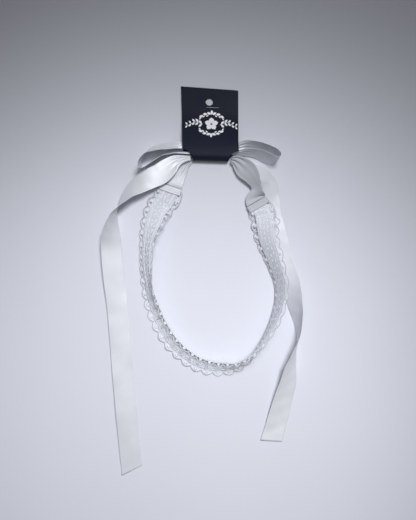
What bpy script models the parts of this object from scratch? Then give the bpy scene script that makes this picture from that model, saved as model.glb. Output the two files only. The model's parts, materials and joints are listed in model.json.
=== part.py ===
"""Lace headband with ribbon ties, bow-tied inside a folded display card."""
import bpy
import math
import numpy as np
from mathutils import Matrix, Vector

MM = 0.001
# ---- driving dimensions, all in millimetres unless a name says otherwise ----
RIBBON_W = 20.0          # satin ribbon width
RIBBON_T = 0.5           # satin ribbon thickness as modelled
LACE_W = 28.0            # lace width across the two scalloped edges
LACE_T = 0.6             # lace thickness as modelled
SCALLOP_DEPTH = 3.2      # how far the lace edge dips between two scallops
SCALLOPS = 36            # scallops along each lace edge
BOARD_T = 0.4            # card board thickness
FOLD_R = 4.7             # radius of the card's open fold, board mid-line
BOARD_LIFT = 0.6         # back panel above the table, room for the staple's clinch
PANEL_W = 53.0           # width of the card
PANEL_L = 70.0           # fold to top edge
NOTCH_R = 10.0           # rounded notch at each end of the fold
HOLE_D = 7.0             # hang hole
HOLE_Y = 57.0            # hang hole above the fold
STAPLE_W = 13.0          # staple crown
STAPLE_WIRE = 0.5        # staple wire diameter
STAPLE_Y = 51.6          # staple above the fold
STAPLE_FIT = 0.2         # room round the staple's legs in the board
REST = 0.1               # gap between two pieces that lie on each other
TAB_W = 21.0             # folded ribbon end sewn over the lace end
TAB_L = 5.4
TAB_GAP = 0.35           # room between the lace and each side of the tab
THREAD_D = 0.45          # sewing thread
CARD_TURN = -1.8         # degrees, the card lies a little turned
CARD_AT = (-0.75, -0.9)  # fold centre
ROUTE_PANEL_W = 53.0     # card width that the laid routes below were measured round
ROUTE_RIBBON_W = 20.0    # ribbon width that their width shares were measured on

for old in list(bpy.data.objects):
    bpy.data.objects.remove(old, do_unlink=True)

COLOURS = {
    'satin': (0.86, 0.87, 0.91, 1.0), 'lace': (0.80, 0.82, 0.86, 1.0),
    'board': (0.016, 0.019, 0.032, 1.0), 'steel': (0.45, 0.46, 0.48, 1.0),
    'thread': (0.88, 0.89, 0.92, 1.0)}


def material(name, kind, rough=0.45, metal=0.0):
    mat = bpy.data.materials.new(name)
    mat.use_nodes = True
    bsdf = mat.node_tree.nodes['Principled BSDF']
    bsdf.inputs['Base Color'].default_value = COLOURS[kind]
    bsdf.inputs['Roughness'].default_value = rough
    bsdf.inputs['Metallic'].default_value = metal
    mat.diffuse_color = COLOURS[kind]
    return mat


def add_mesh(name, verts, faces, mat, smooth=True):
    mesh = bpy.data.meshes.new(name)
    mesh.from_pydata([tuple(float(c) * MM for c in v) for v in verts], [], faces)
    mesh.update()
    obj = bpy.data.objects.new(name, mesh)
    bpy.context.collection.objects.link(obj)
    obj.data.materials.append(mat)
    if smooth:
        mesh.polygons.foreach_set('use_smooth', [True] * len(mesh.polygons))
    return obj


def spline(points, count):
    """Smooth curve through hand-placed stations, sampled evenly along its length."""
    pts = np.array(points, float)
    ends = np.vstack([2 * pts[0] - pts[1], pts, 2 * pts[-1] - pts[-2]])
    out = []
    for i in range(1, len(ends) - 2):
        p0, p1, p2, p3 = ends[i - 1:i + 3]
        for u in np.linspace(0, 1, 24, endpoint=False):
            out.append(0.5 * (2 * p1 + (p2 - p0) * u + (2 * p0 - 5 * p1 + 4 * p2 - p3) * u * u
                              + (3 * p1 - p0 - 3 * p2 + p3) * u ** 3))
    out.append(pts[-1])
    out = np.array(out)
    run = np.concatenate([[0], np.cumsum(np.linalg.norm(np.diff(out[:, :2], axis=0), axis=1))])
    at = np.linspace(0, run[-1], count)
    return np.array([np.interp(at, run, out[:, k]) for k in range(out.shape[1])]).T, run[-1]


def beside_card(x, inner, outer):
    """A wider card pushes what lies outside its fold further out, from nothing at inner to all at outer."""
    push = (PANEL_W - ROUTE_PANEL_W) / 2
    return x + push * np.sign(x) * np.clip((np.abs(x) - inner) / (outer - inner), 0, 1)


def sections(stations, width, thick, rows, cols, anchor=0.5, edge=None, gathered_from=None):
    """Grid of points for a strip. A station is x, y, lift, roll, curl, width share."""
    path, length = spline(stations, rows)
    path[:, 0] = beside_card(path[:, 0], 0.0, 18.0)
    heading = np.gradient(path[:, :2], axis=0)
    heading /= np.linalg.norm(heading, axis=1)[:, None]
    grid = np.zeros((rows, cols, 3))
    for i, (x, y, lift, roll, curl, share) in enumerate(path):
        lo, hi = (0.0, 1.0) if edge is None else edge(i / (rows - 1))
        ts = np.linspace(lo, hi, cols)
        fine = np.linspace(0.0, 1.0, 41)
        flat = 0.28 * min(max((curl - 60) / 80, 0.0), 1.0)     # the outer part of a tight curl lies flat
        ang = np.radians(roll + curl * (np.maximum(fine - flat, 0) / (1 - flat) - anchor))
        w = width * share
        if gathered_from is not None:          # the room in the fold, not the cloth, sets a gathered width
            w = share * (gathered_from + (width - gathered_from) * share ** 2)
        across = np.concatenate([[0], np.cumsum(0.5 * (np.cos(ang[1:]) + np.cos(ang[:-1])))]) * w / 40
        up = np.concatenate([[0], np.cumsum(0.5 * (np.sin(ang[1:]) + np.sin(ang[:-1])))]) * w / 40
        across -= np.interp(anchor, fine, across)
        up += lift + thick / 2 - up.min()
        a = np.interp(ts, fine, across)
        grid[i, :, 0] = x - heading[i, 1] * a
        grid[i, :, 1] = y + heading[i, 0] * a
        grid[i, :, 2] = np.interp(ts, fine, up)
    return grid


def thicken(name, grid, thick, mat, smooth=True):
    """Closed sheet solid from a grid of mid-surface points."""
    rows, cols = grid.shape[:2]
    du = np.gradient(grid, axis=0)
    dv = np.gradient(grid, axis=1)
    nrm = np.cross(du, dv)
    nrm /= np.maximum(np.linalg.norm(nrm, axis=2), 1e-9)[..., None]
    top = (grid + nrm * thick / 2).reshape(-1, 3)
    low = (grid - nrm * thick / 2).reshape(-1, 3)
    n = rows * cols
    faces = []
    for i in range(rows - 1):
        for j in range(cols - 1):
            a, b, c, d = i * cols + j, i * cols + j + 1, (i + 1) * cols + j + 1, (i + 1) * cols + j
            faces.append((a, d, c, b))
            faces.append((n + a, n + b, n + c, n + d))
    ring = [j for j in range(cols)] + [i * cols + cols - 1 for i in range(1, rows)]
    ring += [(rows - 1) * cols + j for j in range(cols - 2, -1, -1)]
    ring += [i * cols for i in range(rows - 2, 0, -1)]
    for k, a in enumerate(ring):
        b = ring[(k + 1) % len(ring)]
        faces.append((a, b, n + b, n + a))
    obj = add_mesh(name, np.vstack([top, low]), faces, mat, smooth)
    tidy(obj)
    return obj


def tidy(obj):
    import bmesh
    bm = bmesh.new()
    bm.from_mesh(obj.data)
    bmesh.ops.recalc_face_normals(bm, faces=bm.faces)
    bm.to_mesh(obj.data)
    bm.free()
    obj.data.update()


def tube(name, path, radius, mat, sides=12, flat=1.0):
    """Closed round wire along a list of points."""
    pts = np.array(path, float)
    tan = np.gradient(pts, axis=0)
    tan /= np.linalg.norm(tan, axis=1)[:, None]
    side = np.cross(tan[0], (0.0, 1.0, 0.0))
    if np.linalg.norm(side) < 0.2:
        side = np.cross(tan[0], (0.0, 0.0, 1.0))
    verts, faces = [], []
    for p, t in zip(pts, tan):
        side = side - t * np.dot(side, t)
        side /= np.linalg.norm(side)
        other = np.cross(t, side)
        for k in range(sides):
            a = 2 * math.pi * k / sides
            verts.append(p + radius * (math.cos(a) * side + math.sin(a) * other * flat))
    for i in range(len(pts) - 1):
        for k in range(sides):
            a, b = i * sides + k, i * sides + (k + 1) % sides
            faces.append((a, b, b + sides, a + sides))
    faces.append(tuple(range(sides - 1, -1, -1)))
    faces.append(tuple(range((len(pts) - 1) * sides, len(pts) * sides)))
    obj = add_mesh(name, verts, faces, mat)
    tidy(obj)
    return obj


# ------------------------------------------------------------------ the card
card_turn = math.radians(CARD_TURN)


def on_card(x, y, z=0.0):
    """Card's own coordinates to the common layout."""
    c, s = math.cos(card_turn), math.sin(card_turn)
    return (CARD_AT[0] + x * c - y * s, CARD_AT[1] + x * s + y * c, z)


BACK_Z = BOARD_LIFT + BOARD_T / 2            # back panel, middle of the board
FOLD_TOP = BACK_Z + 2 * FOLD_R               # front panel where it leaves the fold
PINCH_Z = BACK_Z + BOARD_T + 0.3             # front panel where the staple holds it
profile = [(PANEL_L * (1 - k / 8) + FOLD_R * k / 8, BACK_Z) for k in range(8)]
for k in range(13):
    a = math.pi * k / 12
    profile.append((FOLD_R - FOLD_R * math.sin(a), BACK_Z + FOLD_R - FOLD_R * math.cos(a)))
for k in range(1, 15):
    u = k / 14
    drop = (FOLD_TOP - PINCH_Z) * (1 - 3 * u * u + 2 * u ** 3)
    profile.append((FOLD_R + (STAPLE_Y - 4.0 - FOLD_R) * u, PINCH_Z + drop))
for k in range(1, 4):
    profile.append((STAPLE_Y - 4.0 + (PANEL_L - STAPLE_Y + 4.0) * k / 3, PINCH_Z))
half = PANEL_W / 2
board = np.zeros((len(profile), 9, 3))
turned = FOLD_R * math.pi
for i, (y, z) in enumerate(profile):
    share = i / (len(profile) - 1)
    lean = -0.062 * y if i > 14 else -0.035 * y
    for j in range(9):
        across = j / 8
        x = -half + PANEL_W * across + lean + 0.6
        yy = y - (1.1 * (across - 0.5) * 2) * max(0.0, (y - 50.0) / 20.0)
        board[i, j] = on_card(x, yy, z)
board_mat = material('navy_board', 'board', 0.6)
card = thicken('header_card', board, BOARD_T, board_mat, smooth=False)


def cutter(name, radius, at, z0=-5.0, z1=20.0, sides=48):
    verts, faces = [], []
    for z in (z0, z1):
        for k in range(sides):
            a = 2 * math.pi * k / sides
            verts.append((at[0] + radius * math.cos(a), at[1] + radius * math.sin(a), z))
    for k in range(sides):
        b = (k + 1) % sides
        faces.append((k, b, sides + b, sides + k))
    faces.append(tuple(range(sides - 1, -1, -1)))
    faces.append(tuple(range(sides, 2 * sides)))
    obj = add_mesh(name, verts, faces, board_mat, smooth=False)
    tidy(obj)
    obj.hide_render = True
    obj.display_type = 'WIRE'
    return obj


cuts = [cutter('cut_notch_left', NOTCH_R, on_card(-half - 0.1, -0.7)),
        cutter('cut_notch_right', NOTCH_R, on_card(half + 0.5, -1.5)),
        cutter('cut_hang_hole', HOLE_D / 2, on_card(-2.6, HOLE_Y), sides=32)]
staple_x = 0.7
for side in (-1, 1):
    cuts.append(cutter('cut_staple_%d' % (side + 1), STAPLE_WIRE / 2 + STAPLE_FIT,
                       on_card(staple_x + side * (STAPLE_W - STAPLE_WIRE) / 2, STAPLE_Y), sides=16))
for cut in cuts:
    mod = card.modifiers.new(cut.name, 'BOOLEAN')
    mod.operation = 'DIFFERENCE'
    mod.solver = 'EXACT'
    mod.object = cut
bpy.context.view_layer.update()
cooked = bpy.data.meshes.new_from_object(card.evaluated_get(bpy.context.evaluated_depsgraph_get()))
card.modifiers.clear()
card.data = cooked
for cut in cuts:
    bpy.data.objects.remove(cut, do_unlink=True)

# ---------------------------------------------------------------- the staple
steel = material('staple_steel', 'steel', 0.3, 1.0)
reach = (STAPLE_W - STAPLE_WIRE) / 2
crown_z = PINCH_Z + BOARD_T / 2 + REST + STAPLE_WIRE / 2
clinch_z = BOARD_LIFT - REST - STAPLE_WIRE / 2 + 0.02
bend = 0.5
wire = []
for x, z in [(-1.4, clinch_z), (-2.6, clinch_z), (-4.0, clinch_z), (-reach + bend, clinch_z),
             (-reach + 0.15, clinch_z + 0.15), (-reach, clinch_z + bend), (-reach, (clinch_z + crown_z) / 2),
             (-reach, crown_z - bend), (-reach + 0.15, crown_z - 0.15), (-reach + bend, crown_z)]:
    wire.append((x, z))
wire = wire + [(0.0, crown_z)] + [(-x, z) for x, z in reversed(wire)]
tube('staple', [on_card(staple_x + x, STAPLE_Y, z) for x, z in wire], STAPLE_WIRE / 2, steel, 10)

# ------------------------------------------- knot and the bunched ribbon by it
satin = material('white_satin', 'satin', 0.32)
INNER_LOW = BOARD_LIFT + BOARD_T
INNER_HIGH = FOLD_TOP - BOARD_T / 2
mid_z = (INNER_LOW + INNER_HIGH) / 2
room = (INNER_HIGH - INNER_LOW) / 2
KNOT_Y = 8.0


def bunch(name, stops, sides=28, folds=0, depth=0.0):
    """Closed soft bundle: stops are x, y, z, half size in y, half size in z."""
    verts, faces = [], []
    path, _ = spline(stops, 14)
    path[:, 0] = beside_card(path[:, 0], 7.4, 17.0)
    for x, y, z, ry, rz in path:
        for k in range(sides):
            a = 2 * math.pi * k / sides
            r = 1.0 - depth * (0.5 + 0.5 * math.cos(folds * a))
            verts.append(on_card(x, y + ry * r * math.cos(a), z + rz * r * math.sin(a)))
    rows = len(path)
    for i in range(rows - 1):
        for k in range(sides):
            a, b = i * sides + k, i * sides + (k + 1) % sides
            faces.append((a, b, b + sides, a + sides))
    faces.append(tuple(range(sides - 1, -1, -1)))
    faces.append(tuple(range((rows - 1) * sides, rows * sides)))
    obj = add_mesh(name, verts, faces, satin)
    tidy(obj)
    return obj


tall = room - 0.9
bunch('bow_knot', [(-7.2, KNOT_Y, mid_z, 4.2, tall * 0.72), (-5.6, KNOT_Y, mid_z, 5.2, tall * 0.93),
                   (0.0, KNOT_Y, mid_z, 5.7, tall), (5.6, KNOT_Y, mid_z, 5.2, tall * 0.93),
                   (7.2, KNOT_Y, mid_z, 4.2, tall * 0.72)], folds=3, depth=0.06)
for name, s in (('left_gather', -1), ('right_gather', 1)):
    bunch(name, [(s * 7.6, KNOT_Y, mid_z, 3.4, tall * 0.6), (s * 10.5, KNOT_Y - 0.2, mid_z, 4.6, tall * 0.72),
                 (s * 14.0, KNOT_Y - 0.3, mid_z, 5.6, tall * 0.8), (s * 17.0, KNOT_Y - 0.3, mid_z, 6.2, tall * 0.82)],
          folds=9, depth=0.12)

# ---------------------------------------------------------------------- lace
LACE = [
    (-50.8, -21.6, 2.8, 0, 0, 0.95), (-52.7, -26.6, 2.8, 0, 0, 0.97), (-56.2, -31.6, 2.8, 0, 0, 1.0),
    (-62.6, -40.8, 2.0, 4, 10, 1.0), (-66.8, -53.8, 0.8, 12, 16, 1.0), (-69.1, -69.1, 0.2, 30, 18, 1.0),
    (-69.1, -85.4, 0.0, 46, 12, 1.0), (-68.8, -99.8, 0.0, 46, 20, 1.0), (-67.8, -116.2, 0.0, 30, 58, 1.0),
    (-65.4, -134.0, 0.0, 11, 110, 1.0), (-60.4, -151.3, 0.0, 1, 144, 1.0), (-53.5, -165.5, 0.0, -5, 154, 1.0),
    (-44.7, -178.9, 0.0, -7, 157, 1.0), (-33.3, -190.2, 0.0, -8, 158, 1.0), (-20.5, -199.4, 0.0, -8, 158, 1.0),
    (-5.8, -205.1, 0.0, -6, 156, 1.0), (10.2, -206.7, 0.0, 3, 144, 1.0), (25.6, -203.3, 0.0, 16, 115, 1.0),
    (36.5, -195.2, 0.0, 31, 87, 1.0), (44.6, -183.2, 0.0, 52, 60, 1.0), (51.0, -167.0, 0.0, 74, 38, 1.0),
    (56.8, -150.0, 0.0, 91, 22, 1.0), (60.4, -133.4, 0.0, 102, 10, 1.0), (60.0, -119.0, 0.0, 108, 8, 1.0),
    (55.7, -107.0, 0.0, 114, 8, 1.0), (49.9, -94.6, 0.0, 124, 8, 1.0), (44.0, -82.6, 0.2, 133, 8, 1.0),
    (39.6, -71.6, 1.0, 143, 8, 1.0), (37.3, -62.0, 2.6, 160, 6, 1.0), (37.3, -55.0, 3.6, 180, 0, 0.94),
    (36.5, -50.2, 3.6, 180, 0, 0.86), (34.1, -46.4, 3.6, 180, 0, 0.8)]
SAMPLES = 6


def lace_edge(share):
    """Both edges rise and dip in scallops; the ends run straight into the tabs."""
    dip = SCALLOP_DEPTH / LACE_W * (1 - abs(math.sin(math.pi * SCALLOPS * share))) * 0.9
    return dip, 1.0 - dip


lace_rows = SCALLOPS * SAMPLES + 1
lace_grid = sections(LACE, LACE_W, LACE_T, lace_rows, 7, anchor=0.0, edge=lace_edge)
lace_mat = material('white_lace', 'lace', 0.7)
thicken('lace_band', lace_grid, LACE_T, lace_mat)


# ----------------------------------------------------- tabs and their stitches
def tab(name, end_row, inner_row):
    """Ribbon end folded over the lace end, closed side facing the leg."""
    a, b = end_row[0], end_row[-1]
    mid = (a + b) / 2
    along = (b - a) / np.linalg.norm(b - a)
    inward = inner_row.mean(axis=0) - end_row.mean(axis=0)
    inward -= along * np.dot(inward, along)
    inward /= np.linalg.norm(inward)
    up = np.cross(along, inward)
    if up[2] < 0:
        up = -up
    off = LACE_T / 2 + TAB_GAP + RIBBON_T / 2
    path = [(TAB_L * u, -off) for u in (1.0, 0.66, 0.33, 0.0)]
    for k in range(1, 6):
        t = math.pi * k / 6
        path.append((-off * math.sin(t), -off * math.cos(t)))
    path += [(TAB_L * u, off) for u in (0.0, 0.33, 0.66, 1.0)]
    grid = np.zeros((len(path), 6, 3))
    for i, (s, h) in enumerate(path):
        for j in range(6):
            grid[i, j] = mid + along * TAB_W * (j / 5 - 0.5) + inward * (s - TAB_GAP) + up * h
    thicken(name, grid, RIBBON_T, satin, smooth=False)
    line = []
    for k in range(33):
        u = k / 32
        lift = off + RIBBON_T / 2 + REST + THREAD_D / 2
        line.append(mid + along * (TAB_W - 3.0) * (u - 0.5)
                    + inward * (TAB_L * 0.62 - TAB_GAP + 0.35 * math.sin(u * 14 * math.pi)) + up * lift)
    tube(name + '_stitches', line, THREAD_D / 2, thread, 8)
    return mid, inward, along, off + RIBBON_T / 2 + TAB_GAP


thread = material('white_thread', 'thread', 0.6)
TAB_ENDS = {'left_leg': tab('left_tab', lace_grid[0], lace_grid[3]),
            'right_leg': tab('right_tab', lace_grid[-1], lace_grid[-4])}

# ------------------------------------------------------------------- ribbons
# stations: x, y, lift, roll, curl, width share
OVER = 0.6 * (RIBBON_W - ROUTE_RIBBON_W)     # the right leg lies over the tail's raised edge
RIBBONS = {
    'left_loop': (72, 6, [
        (-18.4, 11.6, 2.0, 34, 10, 0.38), (-28.0, 13.2, 1.8, 40, 20, 0.52), (-38.0, 12.4, 0.9, 52, 20, 0.74),
        (-47.0, 10.6, 0.4, 62, 20, 0.92), (-55.0, 8.6, 0.2, 68, 15, 1.0), (-62.0, 4.8, 0.2, 76, 8, 1.0),
        (-66.4, -2.2, 0.2, 86, 0, 1.0), (-66.2, -8.4, 0.2, 96, 0, 0.94), (-61.6, -7.0, 0.3, 102, -6, 0.84),
        (-53.6, -0.8, 0.5, 106, -10, 0.74), (-45.8, 4.0, 1.0, 110, -12, 0.60), (-38.0, 6.4, 1.5, 110, -10, 0.46),
        (-28.0, 6.7, 2.2, 108, -8, 0.34), (-18.4, 6.4, 2.4, 106, 0, 0.28)]),
    'right_loop': (68, 6, [
        (18.4, 6.6, 2.4, 74, 0, 0.28), (28.0, 6.8, 2.2, 68, 8, 0.38), (36.0, 6.6, 1.5, 66, 10, 0.58),
        (44.0, 5.2, 0.8, 66, 10, 0.76), (51.5, 1.8, 0.3, 68, 8, 0.90), (58.0, -1.2, 0.2, 76, 0, 0.96),
        (63.4, 0.4, 0.2, 90, 0, 0.96), (61.6, 5.0, 0.2, 100, -4, 0.94), (54.0, 9.0, 0.2, 104, -8, 0.92),
        (45.0, 12.2, 0.4, 106, -12, 0.82), (35.0, 14.0, 0.8, 116, -14, 0.62), (27.0, 12.9, 1.6, 134, -12, 0.42),
        (18.4, 11.6, 1.8, 144, -10, 0.34)]),
    'left_leg': (30, 6, [
        (-19.2, -0.2, 2.4, -6, 20, 0.24), (-23.8, -3.4, 2.2, -8, 24, 0.40), (-28.6, -9.3, 2.0, -8, 18, 0.66),
        (-32.2, -14.4, 2.2, -4, 8, 0.82)]),
    'right_leg': (34, 6, [
        (19.2, 0.4, 4.8, 18, 20, 0.28), (24.9, -2.0, 4.8, 18, 16, 0.62), (32.7, -9.6, 4.6 + OVER, 22, 16, 0.96),
        (39.4, -18.3, 5.6 + OVER, 34, 10, 0.78), (43.2, -27.2, 4.6 + OVER, 36, 10, 0.54)]),
    'left_tail': (90, 6, [
        (-19.2, 1.8, 5.4, 6, 24, 0.24), (-26.2, 0.6, 5.8, 8, 30, 0.36), (-33.9, -2.4, 6.4, 8, 30, 0.66),
        (-40.6, -8.0, 7.2, 6, 24, 0.92), (-48.3, -14.5, 8.0, 2, 18, 1.0), (-59.6, -19.5, 8.0, 6, 16, 1.0),
        (-68.6, -25.3, 4.2, 28, 14, 1.0), (-76.2, -31.1, 1.8, 46, 14, 1.0), (-82.7, -38.6, 0.7, 60, 14, 1.0),
        (-87.7, -46.8, 0.3, 80, 14, 1.0), (-90.3, -52.3, 0.1, 96, 16, 1.0), (-91.7, -58.3, 0.1, 109, 18, 1.0),
        (-92.8, -64.4, 0.0, 122, 20, 1.0), (-93.9, -72.2, 0.0, 138, 20, 1.0), (-94.4, -84.5, 0.0, 156, 18, 1.0),
        (-92.8, -108.5, 0.0, 162, 16, 1.0), (-89.9, -134.4, 0.0, 170, 12, 1.0), (-87.4, -162.2, 0.0, 172, 12, 1.0),
        (-85.0, -196.8, 0.0, 174, 10, 1.0), (-81.6, -232.3, 0.0, 170, 20, 1.0), (-79.2, -259.2, 0.0, 172, 12, 1.0),
        (-75.6, -296.6, 0.0, 176, 6, 1.0)]),
    'right_tail': (86, 6, [
        (19.2, 1.0, 2.2, -2, 10, 0.20), (26.5, -1.4, 1.8, -6, 16, 0.32), (35.0, -4.2, 1.0, -16, 16, 0.54),
        (43.4, -9.4, 0.5, -24, 10, 0.78), (50.4, -16.0, 0.4, -32, -10, 0.92), (54.4, -25.0, 0.3, -14, -12, 0.98),
        (56.0, -37.0, 0.2, -2, -4, 1.0), (58.4, -52.9, 0.1, 0, 4, 1.0), (62.0, -68.2, 0.1, 6, 6, 1.0),
        (68.6, -95.0, 0.1, 12, 10, 1.0), (76.4, -120.7, 0.1, 34, 16, 1.0), (81.0, -143.2, 0.1, 62, 24, 1.0),
        (82.4, -155.3, 0.1, 78, 28, 1.0), (82.0, -168.5, 0.1, 94, 26, 1.0), (79.0, -182.1, 0.1, 112, 20, 1.0),
        (74.9, -197.8, 0.1, 134, 6, 1.0), (72.6, -211.6, 0.0, 150, -6, 1.0), (66.5, -236.2, 0.0, 166, 6, 1.0),
        (61.2, -256.3, 0.2, 176, 10, 1.0), (57.6, -268.0, 1.4, 180, 12, 1.0)]),
}
for name, (rows, cols, stations) in RIBBONS.items():
    if name in TAB_ENDS:                          # the legs run into the tabs
        mid, inward, along, back = TAB_ENDS[name]
        end = mid - inward * (back + 2 * REST)
        end[0] -= beside_card(end[0], 0.0, 18.0) - end[0]          # the tab already lies clear of the card
        last = np.array([stations[-1][0], stations[-1][1], end[2]])
        drift = (end - last) / np.linalg.norm(end - last)
        near = end - (inward + 1.5 * drift) * 1.6
        lift = end[2] - RIBBON_T / 2
        stations = stations + [(near[0], near[1], lift, 2, 0, 1.0), (end[0], end[1], lift, 0, 0, 1.0)]
    grid = sections(stations, RIBBON_W, RIBBON_T, rows, cols, gathered_from=ROUTE_RIBBON_W)
    if name in TAB_ENDS:
        turn = math.copysign(1.0, np.dot(along, grid[-1, -1] - grid[-1, 0]))
        for k, blend in enumerate((1.0, 0.95, 0.85, 0.7, 0.5, 0.35, 0.2, 0.1)):
            centre = grid[-1 - k].mean(axis=0) if k else mid - inward * (back + 2 * REST)
            for j in range(cols):
                straight = centre + along * turn * RIBBON_W * (j / (cols - 1) - 0.5)
                grid[-1 - k, j] += (straight - grid[-1 - k, j]) * blend
    slant = {'left_tail': 7.5, 'right_tail': 5.0}.get(name, 0.0)     # the ends are cut on the slant
    for k, part in ((1, 1.0), (2, 0.5)):
        step = grid[-1] - grid[-2]
        step /= np.linalg.norm(step[0])
        for j in range(cols):
            grid[-k, j] += step[0] * slant * part * (j / (cols - 1) - 0.5)
    thicken(name, grid, RIBBON_T, satin)

# --------------------------------------- stand the whole part at the row origin
parts = [o for o in bpy.context.scene.objects if o.type == 'MESH']
low = np.array([min(min(v.co[k] for v in o.data.vertices) for o in parts) for k in range(3)])
high = np.array([max(max(v.co[k] for v in o.data.vertices) for o in parts) for k in range(3)])
shift = Vector((-(low[0] + high[0]) / 2, -(low[1] + high[1]) / 2, -low[2]))
HINGES = {
    'band': (('left_leg', 'right_leg', 'left_tab', 'right_tab', 'left_tab_stitches', 'right_tab_stitches',
              'lace_band'), (0.0, 2.0, 4.4)),
    'left_tail': (('left_tail',), (-18.0, 2.0, 6.2)),
    'right_tail': (('right_tail',), (18.0, 2.0, 3.0))}
for obj in parts:
    obj.data.transform(Matrix.Translation(shift))
for label, (names, at) in HINGES.items():
    pivot = Vector(at) * MM + shift
    for name in names:
        obj = bpy.data.objects[name]
        obj.data.transform(Matrix.Translation(-pivot))
        obj.location = pivot
    print('hinge', label, [round(c, 6) for c in pivot])
print('shift', [round(c, 6) for c in shift], 'size', [round(float(c), 6) for c in (high - low)])
bpy.context.view_layer.update()
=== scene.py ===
import bmesh
import bpy
import json
import math
import numpy as np
from mathutils import Matrix, Vector
from mathutils.bvhtree import BVHTree


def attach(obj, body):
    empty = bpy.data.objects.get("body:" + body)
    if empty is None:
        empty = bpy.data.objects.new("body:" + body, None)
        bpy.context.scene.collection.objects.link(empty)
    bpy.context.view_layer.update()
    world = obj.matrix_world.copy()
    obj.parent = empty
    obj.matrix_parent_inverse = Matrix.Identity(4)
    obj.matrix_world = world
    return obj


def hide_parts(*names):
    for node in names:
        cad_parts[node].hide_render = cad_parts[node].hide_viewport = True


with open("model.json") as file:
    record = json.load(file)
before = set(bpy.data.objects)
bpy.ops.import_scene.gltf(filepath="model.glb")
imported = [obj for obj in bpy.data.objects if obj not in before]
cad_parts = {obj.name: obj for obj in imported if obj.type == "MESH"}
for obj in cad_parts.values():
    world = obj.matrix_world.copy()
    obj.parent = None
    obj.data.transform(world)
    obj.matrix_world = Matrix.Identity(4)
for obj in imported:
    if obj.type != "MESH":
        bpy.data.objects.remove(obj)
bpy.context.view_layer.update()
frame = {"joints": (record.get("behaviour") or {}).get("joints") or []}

# ------------------------------------------------------------------ lace band
# One length of white galloon lace, 28 mm across with both edges scalloped. It lies as an open
# ring: nearly flat by each tie, on its edge at the sides, and curled over on itself at the front.
# Corded thread outlines every scallop, straight cords run beside them, fine net fills the rest.

LACE_W, LACE_T = 28.0, 0.6
SCALLOPS = 36
SCALLOP_DEPTH = 2.9
# the lace's outer edge, from the left tab round to the right one: x and y from the fold's centre,
# lift, roll, curl and share of the full width, in millimetres and degrees
LACE_ROUTE = [
    (-50.8, -21.6, 2.8, 0, 0, 0.95), (-52.7, -26.6, 2.8, 0, 0, 0.97),
    (-56.2, -31.6, 2.8, 0, 0, 1.0), (-62.6, -40.8, 2.0, 4, 10, 1.0),
    (-66.8, -53.8, 0.8, 12, 16, 1.0), (-69.1, -69.1, 0.2, 30, 18, 1.0),
    (-69.1, -85.4, 0.0, 46, 12, 1.0), (-68.8, -99.8, 0.0, 46, 20, 1.0),
    (-67.8, -116.2, 0.0, 30, 58, 1.0), (-65.4, -134.0, 0.0, 11, 110, 1.0),
    (-60.4, -151.3, 0.0, 1, 144, 1.0), (-53.5, -165.5, 0.0, -5, 154, 1.0),
    (-44.7, -178.9, 0.0, -7, 157, 1.0), (-33.3, -190.2, 0.0, -8, 158, 1.0),
    (-20.5, -199.4, 0.0, -8, 158, 1.0), (-5.8, -205.1, 0.0, -6, 156, 1.0),
    (10.2, -206.7, 0.0, 3, 144, 1.0), (25.6, -203.3, 0.0, 16, 115, 1.0),
    (36.5, -195.2, 0.0, 31, 87, 1.0), (44.6, -183.2, 0.0, 52, 60, 1.0),
    (51.0, -167.0, 0.0, 74, 38, 1.0), (56.8, -150.0, 0.0, 91, 22, 1.0),
    (60.4, -133.4, 0.0, 102, 10, 1.0), (60.0, -119.0, 0.0, 108, 8, 1.0),
    (55.7, -107.0, 0.0, 114, 8, 1.0), (49.9, -94.6, 0.0, 124, 8, 1.0),
    (44.0, -82.6, 0.2, 133, 8, 1.0), (40.3, -71.6, 1.0, 143, 8, 1.0),
    (38.3, -62.4, 2.6, 160, 6, 1.0), (37.2, -55.0, 3.6, 180, 0, 0.94),
    (36.0, -50.0, 3.6, 180, 0, 0.86), (34.1, -46.4, 3.6, 180, 0, 0.8)]

# the band swings about a line just inside the card's fold; the routes start from the middle of the
# fold, down on the table
hinge = {j["name"]: j for j in frame["joints"]}
swing_at = Vector(hinge["band_swing"]["pos_m"])
SWING_INSIDE, SWING_HEIGHT = 0.002, 0.0044
fold_at = np.array([swing_at.x, swing_at.y - SWING_INSIDE, swing_at.z - SWING_HEIGHT])


def to_row(points):
    """Millimetres from the fold centre to the row frame in metres."""
    return np.asarray(points, float) * 0.001 + fold_at


def smooth_route(stations, count, steps=24):
    """A smooth curve through the stations as evenly spaced points, and its length seen from above."""
    pts = np.array(stations, float)
    ends = np.vstack([2 * pts[0] - pts[1], pts, 2 * pts[-1] - pts[-2]])
    out = []
    for i in range(1, len(ends) - 2):
        p0, p1, p2, p3 = ends[i - 1:i + 3]
        for u in np.linspace(0, 1, steps, endpoint=False):
            out.append(0.5 * (2 * p1 + (p2 - p0) * u + (2 * p0 - 5 * p1 + 4 * p2 - p3) * u * u
                              + (3 * p1 - p0 - 3 * p2 + p3) * u ** 3))
    out = np.array(out + [pts[-1]])
    run = np.concatenate([[0], np.cumsum(np.linalg.norm(np.diff(out[:, :2], axis=0), axis=1))])
    at = np.linspace(0, run[-1], count)
    return np.array([np.interp(at, run, out[:, k]) for k in range(out.shape[1])]).T, run[-1]


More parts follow.
